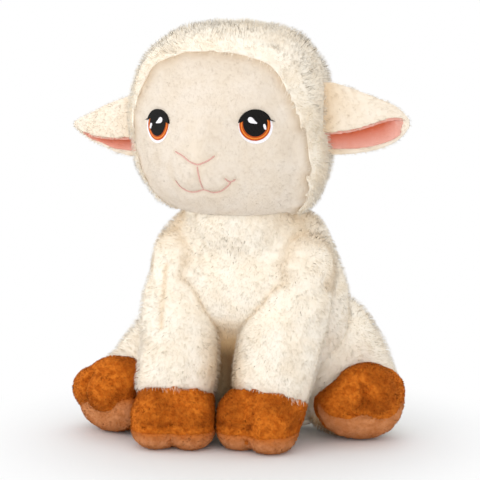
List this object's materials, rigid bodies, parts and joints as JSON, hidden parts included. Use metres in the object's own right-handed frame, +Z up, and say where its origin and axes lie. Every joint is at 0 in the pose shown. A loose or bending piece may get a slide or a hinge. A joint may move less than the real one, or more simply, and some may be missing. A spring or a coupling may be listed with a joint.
{
  "type": "plush sheep",
  "caption": "Sitting plush lamb with a woolly hood, folded ears with pink linings, embroidered eyes, floppy legs and brown cloven hooves.",
  "frame": {"origin": "on the floor under the middle of the toy's box", "axes": "+Z up; the sheep faces -Y; its own left side is at +X"},
  "size_m": [0.2004, 0.1528, 0.247],
  "materials": {
    "wool_plush": "long cream pile",
    "short_plush": "short cream pile",
    "filling": "loose fibre",
    "pellet_cloth": "plain woven bag of pellets",
    "velour": "rust brown velour",
    "sole_velour": "lighter tan velour, brushed flat",
    "pink_plush": "short salmon pink pile",
    "white_thread": "satin stitch",
    "amber_thread": "satin stitch",
    "black_thread": "satin stitch",
    "pink_thread": "satin stitch"
  },
  "bodies": {
    "torso": {"body_cover": "wool_plush", "chest_panel": "wool_plush", "base_panel": "short_plush", "body_stuffing": "filling", "pellet_bag": "pellet_cloth"},
    "neck": {"neck_core": "filling"},
    "head": {"wool_hood": "wool_plush", "face_panel": "short_plush", "head_stuffing": "filling", "eye_white_left": "white_thread", "eye_iris_left": "amber_thread", "eye_pupil_left": "black_thread", "eye_lash_left": "black_thread", "eye_white_right": "white_thread", "eye_iris_right": "amber_thread", "eye_pupil_right": "black_thread", "eye_lash_right": "black_thread", "nose_stitch": "pink_thread", "mouth_stitch": "pink_thread"},
    "left_ear": {"ear_left": "short_plush", "ear_lining_left": "pink_plush"},
    "right_ear": {"ear_right": "short_plush", "ear_lining_right": "pink_plush"},
    "left_front_leg": {"front_leg_left": "wool_plush", "front_leg_stuffing_left": "filling", "front_hoof_left": "velour", "front_sole_left": "sole_velour"},
    "right_front_leg": {"front_leg_right": "wool_plush", "front_leg_stuffing_right": "filling", "front_hoof_right": "velour", "front_sole_right": "sole_velour"},
    "left_hind_leg": {"hind_leg_left": "wool_plush", "hind_leg_stuffing_left": "filling", "hind_hoof_left": "velour", "hind_sole_left": "sole_velour"},
    "right_hind_leg": {"hind_leg_right": "wool_plush", "hind_leg_stuffing_right": "filling", "hind_hoof_right": "velour", "hind_sole_right": "sole_velour"},
    "tail": {"tail": "wool_plush"}
  },
  "joints": [
    {"name": "head_turn", "type": "hinge", "parent": "torso", "child": "neck", "pos_m": [-0.00057, -0.00954, 0.145], "axis": [0, 0, 1], "range_deg": [-20, 20], "stiffness_Nm_per_rad": 0.4},
    {"name": "head_nod", "type": "hinge", "parent": "neck", "child": "head", "pos_m": [-0.00057, -0.00954, 0.145], "axis": [0.9986, -0.0523, 0], "range_deg": [-10, 10], "stiffness_Nm_per_rad": 0.8},
    {"name": "left_ear_flap", "type": "hinge", "parent": "head", "child": "left_ear", "pos_m": [0.05315, -0.01636, 0.191], "axis": [0, 0, -1], "range_deg": [-20, 25], "stiffness_Nm_per_rad": 0.02},
    {"name": "right_ear_flap", "type": "hinge", "parent": "head", "child": "right_ear", "pos_m": [-0.0547, -0.01071, 0.191], "axis": [0, 0, 1], "range_deg": [-20, 25], "stiffness_Nm_per_rad": 0.02},
    {"name": "left_front_leg_swing", "type": "hinge", "parent": "torso", "child": "left_front_leg", "pos_m": [0.03243, -0.01254, 0.108], "axis": [-1, 0, 0], "range_deg": [0, 30], "stiffness_Nm_per_rad": 0.25},
    {"name": "right_front_leg_swing", "type": "hinge", "parent": "torso", "child": "right_front_leg", "pos_m": [-0.03357, -0.01254, 0.108], "axis": [-1, 0, 0], "range_deg": [0, 30], "stiffness_Nm_per_rad": 0.25},
    {"name": "left_hind_leg_lift", "type": "hinge", "parent": "torso", "child": "left_hind_leg", "pos_m": [0.05114, 0.03742, 0.023], "axis": [-0.891, -0.454, 0], "range_deg": [0, 25], "stiffness_Nm_per_rad": 0.25},
    {"name": "right_hind_leg_lift", "type": "hinge", "parent": "torso", "child": "right_hind_leg", "pos_m": [-0.05605, 0.02388, 0.023], "axis": [-0.848, 0.5299, 0], "range_deg": [0, 25], "stiffness_Nm_per_rad": 0.25},
    {"name": "tail_lift", "type": "hinge", "parent": "torso", "child": "tail", "pos_m": [-0.00057, 0.06046, 0.05], "axis": [1, 0, 0], "range_deg": [0, 35], "stiffness_Nm_per_rad": 0.006}
  ]
}
